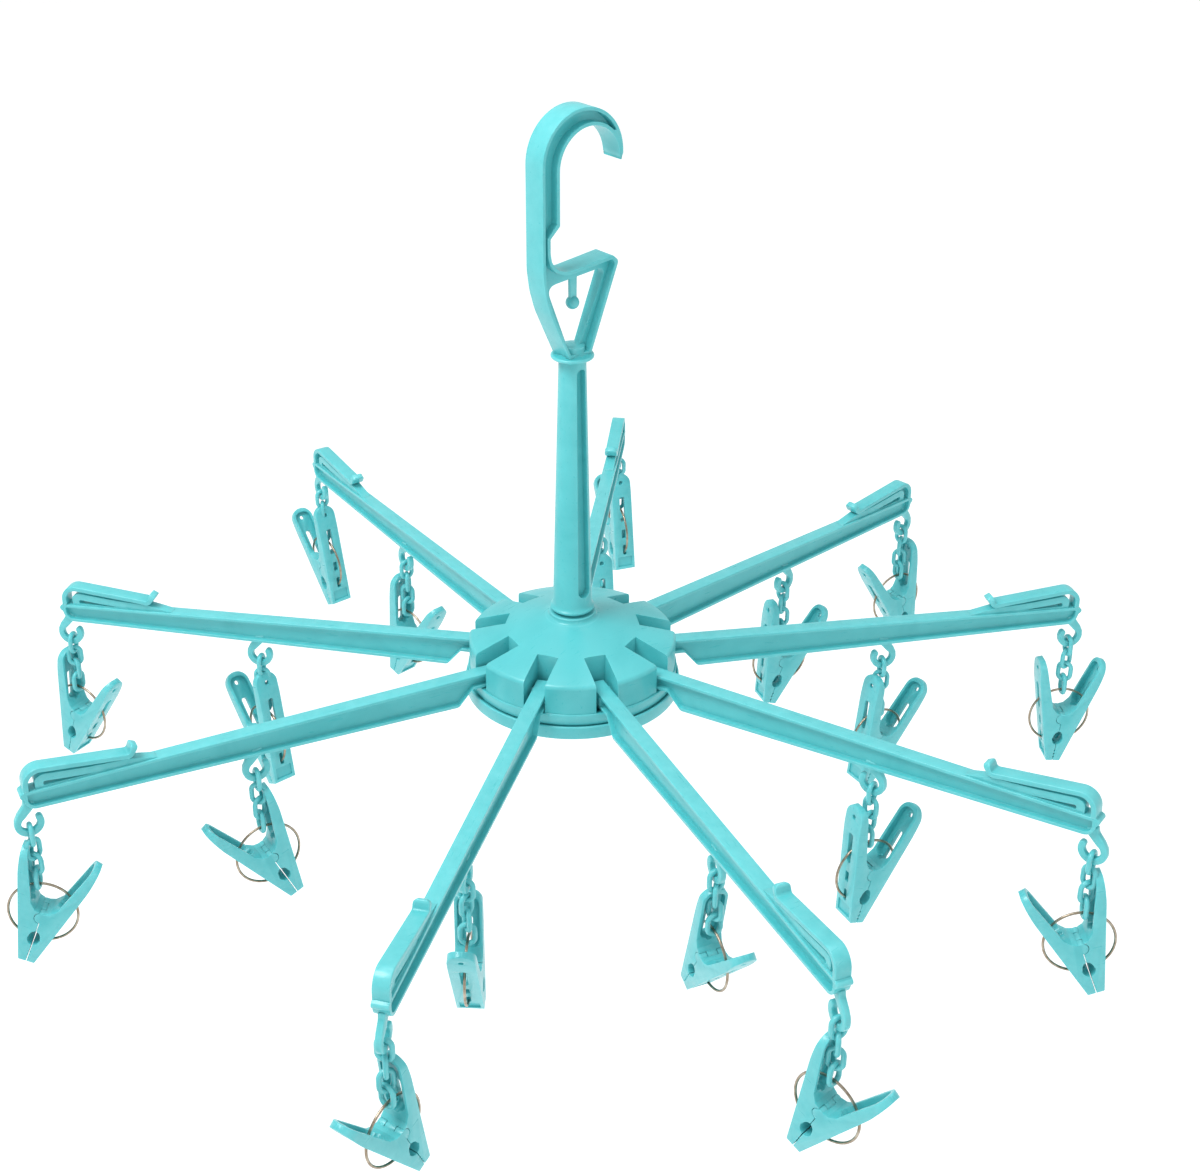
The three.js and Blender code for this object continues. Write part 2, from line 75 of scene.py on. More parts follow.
# ---- camera ----
TIP_LEVEL = -0.2453
FACING = -40.4
AWAY = 0.7745
ABOVE_TIPS = 0.457
LOOKING_DOWN = 28.52
camera = bpy.data.objects.new("camera", bpy.data.cameras.new("camera"))
bpy.context.scene.collection.objects.link(camera)
bpy.context.scene.camera = camera
camera.location = (
    POLE_X * MM + AWAY * math.sin(rad(FACING)),
    -AWAY * math.cos(rad(FACING)),
    TIP_LEVEL + ABOVE_TIPS,
)
camera.rotation_euler = (rad(90 - LOOKING_DOWN), 0, rad(FACING))
camera.data.lens = 58.96
camera.data.sensor_width = 36
camera.data.shift_x = 0.023
camera.data.clip_start = 0.01


# ---- mesh tools, in millimetres ----
def arc(cx, cz, r, a0, a1, n):
    """Points on an arc, by angle from +X towards +Z."""
    return [
        (
            cx + r * math.cos(rad(a0 + (a1 - a0) * i / n)),
            cz + r * math.sin(rad(a0 + (a1 - a0) * i / n)),
        )
        for i in range(n + 1)
    ]


def rounded(points, steps=6):
    """A closed polygon whose corners with a radius, (x, z, radius), are turned into arcs."""
    out = []
    count = len(points)
    points = [p if len(p) == 3 else (*p, 0) for p in points]
    for i, (x, z, r) in enumerate(points):
        p = Vector((x, z))
        a = Vector(points[i - 1][:2]) - p
        b = Vector(points[(i + 1) % count][:2]) - p
        if r <= 0 or a.length < 1e-6 or b.length < 1e-6:
            out.append((x, z))
            continue
        half = a.angle(b) / 2
        if half > rad(88) or half < rad(1):
            out.append((x, z))
            continue
        cut = min(r / math.tan(half), a.length * 0.48, b.length * 0.48)
        start = p + a.normalized() * cut
        end = p + b.normalized() * cut
        for k in range(steps + 1):
            t = k / steps
            q = start * (1 - t) ** 2 + p * 2 * t * (1 - t) + end * t**2
            out.append((q.x, q.y))
    return out


def to_mesh(name, verts, faces):
    mesh = bpy.data.meshes.new(name)
    mesh.from_pydata([Vector(v) * MM for v in verts], [], faces)
    bm = bmesh.new()
    bm.from_mesh(mesh)
    bmesh.ops.remove_doubles(bm, verts=bm.verts, dist=1e-7)
    bmesh.ops.recalc_face_normals(bm, faces=bm.faces)
    bm.to_mesh(mesh)
    bm.free()
    return mesh


def prism(outline, y0, y1):
    """A plate standing in the XZ plane, between y0 and y1."""
    n = len(outline)
    verts = [(x, y0, z) for x, z in outline] + [(x, y1, z) for x, z in outline]
    faces = [list(range(n)), list(range(2 * n - 1, n - 1, -1))]
    faces += [(i, (i + 1) % n, n + (i + 1) % n, n + i) for i in range(n)]
    return to_mesh("prism", verts, faces)


def lathe(profile, segments=96):
    """A body turned about Z. Its (radius, z) profile starts and ends on the axis, or closes on itself."""
    verts, faces, rings = [], [], []
    for r, z in profile:
        if r < 1e-6:
            rings.append([len(verts)] * segments)
            verts.append((0, 0, z))
            continue
        rings.append(list(range(len(verts), len(verts) + segments)))
        for i in range(segments):
            a = 2 * math.pi * i / segments
            verts.append((r * math.cos(a), r * math.sin(a), z))
    for low, high in zip(rings, rings[1:]):
        for i in range(segments):
            j = (i + 1) % segments
            face = []
            for v in (low[i], low[j], high[j], high[i]):
                if v not in face:
                    face.append(v)
            if len(face) > 2:
                faces.append(face)
    return to_mesh("lathe", verts, faces)


def sweep(points, frames, section, closed=False):
    """A section of (u, v) carried along points. A frame is a point's two side directions and scales."""
    m = len(section)
    verts, faces = [], []
    for p, (side, up, su, sv) in zip(points, frames):
        verts += [Vector(p) + side * u * su + up * v * sv for u, v in section]
    n = len(points)
    for i in range(n if closed else n - 1):
        j = (i + 1) % n
        for k in range(m):
            q = (k + 1) % m
            faces.append((i * m + k, i * m + q, j * m + q, j * m + k))
    if not closed:
        faces += [list(range(m)), list(range(n * m - 1, (n - 1) * m - 1, -1))]
    return to_mesh("sweep", verts, faces)


def wire(points, radius, sides=12, closed=False):
    """A round wire along a curve in the XZ plane."""
    section = arc(0, 0, radius, 0, 360 - 360 / sides, sides - 1)
    frames = []
    n = len(points)
    for i in range(n):
        a = Vector(points[i - 1]) if i or closed else Vector(points[0])
        b = Vector(points[(i + 1) % n]) if i < n - 1 or closed else Vector(points[-1])
        along = (b - a).normalized()
        frames.append((along.cross(Vector((0, 1, 0))), Vector((0, 1, 0)), 1, 1))
    return sweep(points, frames, section, closed)


def temp(mesh):
    obj = bpy.data.objects.new("temp", mesh)
    bpy.context.scene.collection.objects.link(obj)
    return obj


def baked(obj):
    """The object's mesh with its modifiers applied; the object goes."""
    graph = bpy.context.evaluated_depsgraph_get()
    mesh = bpy.data.meshes.new_from_object(obj.evaluated_get(graph), depsgraph=graph)
    bpy.data.objects.remove(obj)
    return mesh


def combine(mesh, others, operation):
    obj = temp(mesh)
    tools = [temp(o) for o in others]
    for tool in tools:
        modifier = obj.modifiers.new("cut", "BOOLEAN")
        modifier.operation = operation
        modifier.solver = "EXACT"
        modifier.object = tool
    result = baked(obj)
    for tool in tools:
        bpy.data.objects.remove(tool)
    return result


def cut(mesh, *others):
    return combine(mesh, others, "DIFFERENCE")


def common(mesh, *others):
    return combine(mesh, others, "INTERSECT")


def union(mesh, *others):
    return combine(mesh, others, "UNION")


def merged(*meshes):
    """One mesh of several, with nothing joined."""
    bm = bmesh.new()
    for mesh in meshes:
        bm.from_mesh(mesh)
    out = bpy.data.meshes.new("merged")
    bm.to_mesh(out)
    bm.free()
    return out


def moved(mesh, matrix):
    out = mesh.copy()
    out.transform(matrix)
    return out


def shift(x=0, y=0, z=0):
    return Matrix.Translation((x * MM, y * MM, z * MM))


def turn(degrees, axis="Z"):
    return Matrix.Rotation(rad(degrees), 4, axis)


def soften(mesh, width, segments=3, angle=28):
    """Rounds every sharp edge as a mould leaves it, and marks the edges for the material's painted edge
    highlight.
    """
    obj = temp(mesh)
    bevel = obj.modifiers.new("bevel", "BEVEL")
    bevel.width = width * MM
    bevel.segments = segments
    bevel.limit_method = "ANGLE"
    bevel.angle_limit = rad(angle)
    bevel.miter_outer = "MITER_ARC"
    bevel.use_clamp_overlap = True
    weighted = obj.modifiers.new("normals", "WEIGHTED_NORMAL")
    weighted.keep_sharp = True
    out = baked(obj)
    out.shade_smooth()
    mark_edges(out)
    return out


def mark_edges(mesh):
    """Writes a point attribute: above 0 on outer edges, below 0 in corners."""
    bm = bmesh.new()
    bm.from_mesh(mesh)
    values = []
    for v in bm.verts:
        total = 0.0
        for e in v.link_edges:
            if len(e.link_faces) == 2:
                total += e.calc_face_angle_signed(0.0)
        values.append(max(-1.0, min(1.0, total / 1.2)))
    bm.free()
    attribute = mesh.attributes.new("proud", "FLOAT", "POINT")
    attribute.data.foreach_set("value", values)


# ---- materials ----
def node(tree, kind, at, **sockets):
    made = tree.nodes.new(kind)
    made.location = at
    for key, value in sockets.items():
        made.inputs[key.replace("_", " ")].default_value = value
    return made


def plastic(name, deep, pale, painted_edge_highlight):
    """Moulded polypropylene: faint flow clouding, a painted highlight on outer edges broken up by noise, fine
    surface grain and hairline scuffs.
    """
    material = bpy.data.materials.new(name)
    material.use_nodes = True
    tree = material.node_tree
    link = tree.links.new
    shader = tree.nodes["Principled BSDF"]
    shader.inputs["IOR"].default_value = 1.49
    shader.inputs["Subsurface Weight"].default_value = 0.25
    shader.inputs["Subsurface Radius"].default_value = (0.4, 1.0, 1.0)
    shader.inputs["Subsurface Scale"].default_value = 0.0018
    shader.inputs["Coat Weight"].default_value = 0.12
    shader.inputs["Coat Roughness"].default_value = 0.2
    place = node(tree, "ShaderNodeTexCoord", (-1400, 0))
    where = place.outputs["Object"]

    flow = node(tree, "ShaderNodeTexNoise", (-1100, 300), Scale=38.0, Detail=4.0, Distortion=1.6)
    link(where, flow.inputs["Vector"])
    clouds = node(tree, "ShaderNodeMix", (-500, 300))
    clouds.data_type = "RGBA"
    clouds.inputs[6].default_value = deep
    clouds.inputs[7].default_value = pale
    spread = node(tree, "ShaderNodeMapRange", (-800, 300), From_Min=0.3, From_Max=0.7)
    link(flow.outputs["Fac"], spread.inputs["Value"])
    link(spread.outputs["Result"], clouds.inputs[0])

    # Painted highlight: outer edges (the proud attribute) are mixed towards the pale third colour, broken up
    # by noise.
    edge = node(tree, "ShaderNodeAttribute", (-1100, 0))
    edge.attribute_name = "proud"
    patches = node(tree, "ShaderNodeTexNoise", (-1100, -150), Scale=260.0, Detail=3.0)
    link(where, patches.inputs["Vector"])
    highlight_range = node(tree, "ShaderNodeMapRange", (-800, 0), From_Min=0.05, From_Max=0.9, To_Max=0.75)
    link(edge.outputs["Fac"], highlight_range.inputs["Value"])
    painted_highlight_mask = node(tree, "ShaderNodeMath", (-620, -50))
    painted_highlight_mask.operation = "MULTIPLY"
    link(highlight_range.outputs["Result"], painted_highlight_mask.inputs[0])
    link(patches.outputs["Fac"], painted_highlight_mask.inputs[1])
    tint = node(tree, "ShaderNodeMix", (-260, 200))
    tint.data_type = "RGBA"
    tint.inputs[7].default_value = painted_edge_highlight
    link(painted_highlight_mask.outputs["Value"], tint.inputs[0])
    link(clouds.outputs[2], tint.inputs[6])
    link(tint.outputs[2], shader.inputs["Base Color"])

    stretch = node(tree, "ShaderNodeMapping", (-1250, -500), Scale=(60.0, 900.0, 420.0))
    link(where, stretch.inputs["Vector"])
    scuffs = node(tree, "ShaderNodeTexNoise", (-1050, -500), Scale=1.0, Detail=5.0, Roughness=0.7)
    link(stretch.outputs["Vector"], scuffs.inputs["Vector"])
    gloss = node(tree, "ShaderNodeMapRange", (-500, -300), From_Min=0.35, From_Max=0.7)
    gloss.inputs["To Min"].default_value = 0.27
    gloss.inputs["To Max"].default_value = 0.43
    link(scuffs.outputs["Fac"], gloss.inputs["Value"])
    link(gloss.outputs["Result"], shader.inputs["Roughness"])

    grain = node(tree, "ShaderNodeTexNoise", (-1050, -750), Scale=1800.0, Detail=2.0)
    link(where, grain.inputs["Vector"])
    waves = node(tree, "ShaderNodeTexNoise", (-1050, -950), Scale=120.0, Detail=1.0)
    link(where, waves.inputs["Vector"])
    relief = node(tree, "ShaderNodeMix", (-700, -800))
    relief.inputs[0].default_value = 0.6
    link(grain.outputs["Fac"], relief.inputs[2])
    link(waves.outputs["Fac"], relief.inputs[3])
    bump = node(tree, "ShaderNodeBump", (-400, -700), Strength=0.22, Distance=0.0002)
    link(relief.outputs[0], bump.inputs["Height"])
    link(bump.outputs["Normal"], shader.inputs["Normal"])
    return material


def metal(name, colour, stain, rough):
    """Drawn spring wire: bright metal with a brownish film and fine drawing lines."""
    material = bpy.data.materials.new(name)
    material.use_nodes = True
    tree = material.node_tree
    link = tree.links.new
    shader = tree.nodes["Principled BSDF"]
    shader.inputs["Metallic"].default_value = 1.0
    place = node(tree, "ShaderNodeTexCoord", (-1200, 0))
    film = node(tree, "ShaderNodeTexNoise", (-900, 200), Scale=210.0, Detail=5.0, Roughness=0.65)
    link(place.outputs["Object"], film.inputs["Vector"])
    colours = node(tree, "ShaderNodeValToRGB", (-600, 200))
    colours.color_ramp.elements[0].position = 0.38
    colours.color_ramp.elements[0].color = stain
    colours.color_ramp.elements[1].position = 0.62
    colours.color_ramp.elements[1].color = colour
    link(film.outputs["Fac"], colours.inputs["Fac"])
    link(colours.outputs["Color"], shader.inputs["Base Color"])
    lines = node(tree, "ShaderNodeTexNoise", (-900, -200), Scale=2600.0, Detail=2.0)
    link(place.outputs["Object"], lines.inputs["Vector"])
    gloss = node(tree, "ShaderNodeMapRange", (-600, -200), To_Min=rough - 0.08, To_Max=rough + 0.12)
    link(lines.outputs["Fac"], gloss.inputs["Value"])
    link(gloss.outputs["Result"], shader.inputs["Roughness"])
    bump = node(tree, "ShaderNodeBump", (-300, -300), Strength=0.15, Distance=0.00005)
    link(lines.outputs["Fac"], bump.inputs["Height"])
    link(bump.outputs["Normal"], shader.inputs["Normal"])
    return material


# The third colour of each plastic is the painted highlight put on outer edges.
TURQUOISE = plastic("turquoise", (0.07, 0.47, 0.50, 1), (0.09, 0.52, 0.55, 1), (0.22, 0.67, 0.70, 1))
PEG = plastic("turquoise_peg", (0.062, 0.455, 0.49, 1), (0.082, 0.505, 0.54, 1), (0.21, 0.66, 0.69, 1))
STEEL = metal("spring_steel", (0.47, 0.41, 0.33, 1), (0.25, 0.19, 0.13, 1), 0.3)
SCREW = metal("screw_steel", (0.62, 0.60, 0.57, 1), (0.42, 0.40, 0.37, 1), 0.28)


def add(name, mesh, matrix, body, material, slot, *nodes):
    mesh.materials.clear()
    mesh.materials.append(material)
    obj = bpy.data.objects.new(name, mesh)
    bpy.context.scene.collection.objects.link(obj)
    obj.matrix_world = matrix
    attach(obj, body)
    if nodes:
        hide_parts(*nodes)
    return obj


# ---- hook ----
def hook_mesh():
    """A thin web with ribs along its outer and throat edges, and a window in the neck's web."""
    outer = arc(-3.7, -13.3, 21.3, -2, 180, 34)
    inner = arc(0, -16, 16, 180, 4, 30)
    tip = [(16.9, -16.3), (16.4, -16.7)]
    neck = [(-25, -57, 30), (-23.7, -66, 30), (-21, -75, 30), (-10.8, -97), (0.8, -97), (15.8, -59.2, 2.2)]
    rest = [(12.6, -56.3, 1.2), (-11.4, -58.4, 14), (-16.6, -56.5, 10), (-20.2, -53, 8), (-21, -48.4, 8)]
    notch = [(-21, -42.4, 1), (-16, -38, 0.8)]
    outline = rounded(outer + neck + rest + notch + inner + tip, 8)
    web = 1.6
    pocket = rounded(
        arc(-3.7, -13.3, 19.9, 28, 180, 30)
        + [(-23.6, -57, 30), (-22.3, -66.2, 30), (-19.4, -75.4, 30), (-10.2, -95.3, 1.2), (0.0, -95.3, 1.2)]
        + [(13.9, -60, 2), (12.3, -57.9, 1), (-11.3, -59.8, 12), (-17.3, -57.7, 8), (-21.3, -53.9, 7)]
        + [(-22.4, -48.6, 5), (-22.5, -42, 1), (-17.5, -37.2, 0.8)]
        + arc(0, -16, 17.4, 180, 44, 28),
        8,
    )
    window = rounded([(-20.3, -63.9, 4), (12.4, -61.7, 3.4), (-2.6, -92.9, 2.4), (-8.8, -93.4, 2.4)], 8)
    body = cut(
        prism(outline, -5.4, 5.4),
        prism(window, -8, 8),
        prism(pocket, web, 6),
        prism(pocket, -6, -web),
    )
    return soften(body, 0.5, 3)


add("hook_body", hook_mesh(), Matrix(), "stem", TURQUOISE, "frame", "hook")
pin_outline = [(-2.6, -60.6), (2.6, -60.6), (1.8, -63.6, 1.4), (1.7, -73), (-1.7, -73), (-1.8, -63.6, 1.4)]
pin_blade = prism(rounded(pin_outline), -0.9, 0.9)
pin_ball = lathe([(0, -77.1)] + arc(0, -74.2, 2.9, -80, 80, 18) + [(0, -71.3)], 40)
hook_pin = merged(soften(pin_blade, 0.3, 2), soften(pin_ball, 0.1, 2, 60))
add("hook_pin", hook_pin, shift(x=POLE_X), "stem", TURQUOISE, "frame")
collar_profile = (
    [(0, -98.4)]
    + arc(8.5, -97.6, 0.8, -90, 90, 8)
    + [(7.0, -96.7), (6.0, -96.2), (5.4, -95.2), (5.2, -93), (0, -92.4)]
)
add("hook_collar", soften(lathe(collar_profile, 64), 0.1, 2, 50), shift(x=POLE_X), "stem", TURQUOISE, "frame")


# ---- pole ----
def pole_mesh():
    top, bottom = -98.5, -217.0
    body = lathe(
        [
            (0, -245),
            (5.4, -245),
            (5.4, -218.7),
            (9.3, -218.7),
            (9.9, -218.2),
            (9.9, -217.4),
            (9.5, -217.0),
            (9.1, -216.6),
            (8.7, -215.4),
            (5.9, top),
            (0, top),
        ],
        72,
    )
    lean = math.degrees(math.atan2(8.7 - 5.9, top - bottom))
    middle = (top + bottom) / 2
    flute = arc(0, top - 6.4, 2.3, 0, 180, 14) + arc(0, bottom + 9, 3.2, 180, 360, 14)
    flute = [(x, z - middle) for x, z in flute]
    tools = [
        moved(prism(flute, side * 6.7 - 3, side * 6.7 + 3), shift(z=middle) @ turn(side * lean, "X"))
        for side in (1, -1)
    ]
    return soften(cut(body, *tools), 0.45, 3, 32)


add("pole_body", pole_mesh(), shift(x=POLE_X), "stem", TURQUOISE, "frame", "pole")


# ---- hub ----
ARMS = 9
PITCH = 360 / ARMS
first = joints["arm_1_fold"]["pos_m"]
PIVOT_Z = first[2] / MM
TURN = math.degrees(math.atan2(first[1] / MM, first[0] / MM - POLE_X))


def box_mesh(x0, x1, y0, y1, z0, z1):
    return prism([(x0, z0), (x1, z0), (x1, z1), (x0, z1)], y0, y1)


def hub_cap_mesh():
    slope = (-233.1 + 222.9) / (46.9 - 12)
    cone = [(r, -222.9 + slope * (r - 12)) for r in (38, 30, 22, 16, 13)]
    outside = lathe(
        [(5.8, -252.1), (47.2, -252.1)]
        + arc(46.8, -247.5, 0.8, 0, 60, 4)
        + [(46.9, -247.0), (46.9, -235)]
        + arc(44.7, -234.9, 2.2, 0, 72, 7)
        + cone
        + arc(12.2, -220.9, 1.7, 262, 182, 8)
        + arc(10.0, -220.5, 0.5, 0, 90, 4)
        + [(6.4, -220), (5.8, -220.6), (5.8, -252.1)],
        216,
    )
    slot = prism([(30, -254), (45.1, -254), (45.1, -247), (60, -247), (60, -210), (30, -210)], -5, 5)
    slots = merged(*[moved(slot, turn(TURN + PITCH * i)) for i in range(ARMS)])
    return soften(cut(outside, slots), 0.6, 3, 30)


def hub_base_mesh():
    dish = lathe(
        [(5.8, -254.6), (10.2, -254.6), (10.2, -258.0)]
        + [(11.2, -258.3), (11.6, -254.9), (46.4, -254.6), (46.8, -258.4), (47.2, -258.8), (48.3, -258.8)]
        + arc(48.3, -258.2, 0.5, -60, 0, 3)
        + [(48.8, -253.4)]
        + arc(48.2, -253.0, 0.6, 0, 90, 4)
        + [(47.9, -252.4), (47.4, -253.2), (46, -253.2), (45.6, -252.4), (5.8, -252.4), (5.8, -254.6)],
        180,
    )
    ribs = [
        moved(box_mesh(11.2, 46.8, -0.6, 0.6, -257.6, -254.3), turn(TURN + PITCH * (i + 0.5)))
        for i in range(ARMS)
    ]
    return merged(soften(dish, 0.25, 2, 40), *[soften(rib, 0.25, 2) for rib in ribs])


add("hub_cap_body", hub_cap_mesh(), shift(x=POLE_X), "hub", TURQUOISE, "frame", "hub_cap")
add("hub_base_dish", hub_base_mesh(), shift(x=POLE_X), "hub", TURQUOISE, "frame", "hub_base")
washer = lathe([(2.3, -256.4), (8.2, -256.4), (8.5, -256.1), (8.4, -255.6), (2.3, -255.6), (2.3, -256.4)], 64)
add("washer", soften(washer, 0.12, 2), shift(x=POLE_X), "stem", SCREW, "steel", "retaining_washer")
head = lathe(
    [(0, -258.6), (2.2, -258.6), (3.3, -258.2), (3.8, -257.5), (3.8, -256.8)]
    + [(1.9, -256.8), (1.9, -246), (0, -244.5)],
    48,
)
cross = (box_mesh(-2.3, 2.3, -0.5, 0.5, -260, -257.6), box_mesh(-0.5, 0.5, -2.3, 2.3, -260, -257.6))
screw = soften(cut(head, *cross), 0.15, 2)
add("screw", screw, shift(x=POLE_X), "stem", SCREW, "steel", "retaining_screw")

# ---- arms ----
LENGTH = 213.5
SHALLOW = -3.4
DEEP = -11
TONGUE_REACH = 46
RIB_END = 56
EYE_X = {"outer": 212.5, "inner": 115.5}
EYE_DROP = 8


def arm_top(x):
    return 3.8 - 0.0286 * x


def eye_mesh(x, lifted):
    """An open C under the arm: a shank on the outer side, a round bowl and a rounded tip facing the hub."""
    z = DEEP - EYE_DROP
    middle = (x + 4.75 * math.cos(rad(205)), z - 4.75 * math.sin(rad(205)))
    outline = (
        [(x - 3, DEEP + 2.6), (x - 3, DEEP - 0.2)]
        + arc(x, z, 3.3, 62, -205, 26)
        + arc(*middle, 1.45, -25, 155, 10)[1:-1]
        + arc(x, z, 6.2, -205, 0, 22)
        + [(x + 5.9, z + 2.4), (x + 4.5, z + 5.2), (x + 1.8, DEEP + 0.8), (x + 1.4, DEEP + lifted)]
    )
    return soften(prism(outline, -1.4, 1.4), 0.55, 3)


def arm_mesh():
    end = LENGTH
    outline = rounded(
        [(-4.5, -2.2, 1.5), (-3.2, SHALLOW, 1), (15.5, SHALLOW, 1.2), (22, DEEP, 2.5)]
        + arc(end - 5, DEEP + 5, 5, 270, 352, 12)
        + arc(end + 0.1, arm_top(end) - 1.8, 1.5, -75, 75, 8)
        + [(end, arm_top(end), 0), (-3.4, arm_top(-3.4), 1.0), (-4.5, arm_top(-4.5) - 1.2, 1.0)],
        5,
    )
    pocket = rounded(
        [(8, SHALLOW + 1.4, 0.6), (14.9, SHALLOW + 1.4, 1.5), (21.4, DEEP + 1.4, 2)]
        + arc(end - 5, DEEP + 5, 3.6, 270, 352, 10)
        + [(end - 1.4, arm_top(end) - 1.4, 0.8), (8, arm_top(8) - 1.4, 0.6)],
        5,
    )
    beam = cut(
        prism(outline, -3.4, 3.4),
        prism(pocket, 0.9, 5),
        prism(pocket, -5, -0.9),
    )

    def on_top(back, height):
        return (end - back, arm_top(end - back) + height)

    rib = rounded(
        [
            (*on_top(RIB_END, -0.6), 0),
            (*on_top(5.2, -0.6), 0),
            (*on_top(5.0, 4.6), 3.0),
            (*on_top(8.4, 6.2), 4),
            (*on_top(27, 4.0), 20),
            (*on_top(TONGUE_REACH - 2, 2.9), 6),
            (*on_top(RIB_END, 0.1), 8),
        ],
        8,
    )
    slit = rounded(
        [(*on_top(29, 0.5), 0.1), (*on_top(8.4, 0.7), 1), (*on_top(8.6, 2.9), 1.4), (*on_top(16, 1.9), 12)], 6
    )
    rib = cut(prism(rib, -2.4, 2.4), prism(slit, -4, 4))
    pin = prism(arc(0, 0, 1.6, 0, 345, 23), -6.5, 6.5)
    return merged(
        soften(beam, 0.4, 3),
        soften(rib, 0.4, 3),
        eye_mesh(EYE_X["outer"], 3.4),
        eye_mesh(EYE_X["inner"], 2.0),
        soften(pin, 0.3, 2, 40),
    )


def tongue_mesh():
    """A flat strip that rises at the arm's tip, folds back in a round bend and ends in a curled lip."""
    thick = 2.3
    end = LENGTH - thick / 2
    foot = arm_top(LENGTH) - 0.2
    bend = 6.2
    top = arm_top(LENGTH) + 9.1
    touch_x = LENGTH - TONGUE_REACH + 1.4
    touch_z = arm_top(touch_x) + 3.3 + thick / 2
    slope = math.degrees(math.atan2(top - touch_z, (end - bend) - touch_x))
    path = [(end, foot), (end, foot + 1), (end, top - bend - 1)]
    path += arc(end - bend, top - bend, bend, 0, 90 + slope, 14)
    x1, z1 = path[-1]
    for t in (0.15, 0.3, 0.45, 0.6, 0.75, 0.9):
        path.append((x1 + (touch_x + 2.2 - x1) * t, z1 + (touch_z + 0.15 - z1) * t))
    path += arc(touch_x + 1.2, touch_z + 2.4, 2.4, 270, 205, 6)
    x2, z2 = path[-1]
    path += [(x2 - 0.5 * t, z2 + t) for t in (0.8, 1.5, 2.1, 2.6, 3.0)]
    frames = []
    half = 3.4
    n = len(path)
    for i in range(n):
        a, b = Vector(path[max(i - 1, 0)]), Vector(path[min(i + 1, n - 1)])
        along = (b - a).normalized()
        tail = {n - 1: 0.5, n - 2: 0.74, n - 3: 0.9, n - 4: 0.97}.get(i, 1)
        swell = {n - 1: 1.1, n - 2: 1.3, n - 3: 1.3, n - 4: 1.2, n - 5: 1.1}.get(i, 1)
        frames.append((Vector((0, 1, 0)), Vector((-along.y, 0, along.x)), half * tail, thick / 2 * swell))
    section = [(-1, -1), (1, -1), (1, 1), (-1, 1)]
    strip = sweep([(x, 0, z) for x, z in path], frames, section)
    return soften(strip, 0.4, 3, 40)


# ---- pegs ----
HALF = 14.7
SIN, COS = math.sin(rad(HALF)), math.cos(rad(HALF))
RING_R = 14.7
BELOW = 23.6


def on_leg(up, deep):
    return (3.5 + up * SIN - deep * COS, up * COS + deep * SIN - BELOW)


def leg_mesh(spring):
    """One leg of a peg, on the +X side of its ring's middle."""

    def z(height):
        return height - BELOW

    wide = 11.5
    outline = rounded(
        [
            (0.15, z(0), 0.2),
            (3.5, z(0), 0.6),
            (*on_leg(46, 0), 60),
            (*on_leg(57, 1.1), 0.8),
            (*on_leg(57, 3.8), 0.8),
            (*on_leg(30, 5.4), 1.6),
            (3.4, z(27.4), 0.8),
            (0.15, z(26.2), 0.2),
            (0.15, z(17.2), 0.3),
        ],
        4,
    )
    teardrop = [(0.15, z(16.9))] + [
        (2.8 * math.sin(rad(a)) * (1 if a > 90 else 0.88), z(13.0) + 3.8 * math.cos(rad(a)))
        for a in range(15, 176, 10)
    ]
    outline += teardrop
    for tooth in (5.6, 3.8, 2.0):
        outline += [(0.15, z(tooth + 0.4)), (0.6, z(tooth)), (0.15, z(tooth - 0.4))]
    face = [(-1, -wide / 2)] + arc(57 - wide / 2, 0, wide / 2, -90, 90, 20) + [(-1, wide / 2)]
    slab = prism(face, -5, 25)
    upright = Matrix(((0, -1, 0, 0), (0, 0, -1, 0), (1, 0, 0, 0), (0, 0, 0, 1)))
    stand = shift(3.5, 0, -BELOW) @ turn(HALF, "Y") @ upright
    body = common(prism(outline, -wide / 2, wide / 2), moved(slab, stand))

    def strip(from_up, to_up, d0, d1, half, r):
        """A cutter between two heights along the leg and two depths from its outer face."""
        shape = [(from_up, -half, r), (to_up, -half, r), (to_up, half, r), (from_up, half, r)]
        piece = prism(rounded(shape, 6), d0, d1)
        return moved(piece, stand)

    hollow = strip(29.5, 54.6, 2.1, 12, 4.5, 4.2)
    long_slot = strip(28.5, 43.5, -3, 12, 1.5, 1.4)
    end_hole = strip(50.6, 52.8, -3, 12, 1.1, 1.05)
    notch = strip(18.6, 23.8, -3, 2.4, 1.2, 0.3)
    ring_seat = strip(8.6, 14.6, -3, 2.6 if spring else 9, 1.0, 0.9)
    panel = strip(1.6, 7.4, -3, 0.7, 4.3, 0.6)
    tools = [hollow, long_slot, end_hole, notch, ring_seat, panel]
    fulcrum = (0, z(24))

    def barrel(r, y0, y1):
        return prism(arc(*fulcrum, r, 0, 348, 29), y0, y1)

    side = wide / 2
    if spring:
        tools += [barrel(2.9, 2.2, side + 1), barrel(2.9, -side - 1, -2.2)]
        knuckles = [barrel(2.6, -2.2, 2.2)]
    else:
        tools += [barrel(2.9, -2.5, 2.5)]
        knuckles = [barrel(2.6, 2.5, side), barrel(2.6, -side, -2.5)]
    return soften(union(cut(body, *tools), *knuckles), 0.3, 2, 32)


def ring_mesh():
    turns = arc(0, 0, RING_R, -64, 250, 78)
    return wire([(x, 0, z) for x, z in turns], 0.58, 12)


def link_mesh():
    r, half = 2.95, 1.75
    loop = arc(0, half, r, 0, 180, 16) + arc(0, -half, r, 180, 360, 16)
    return wire([(x, 0, z) for x, z in loop], 1.1, 10, closed=True)


def smooth(mesh):
    mesh.shade_smooth()
    mark_edges(mesh)
    return mesh


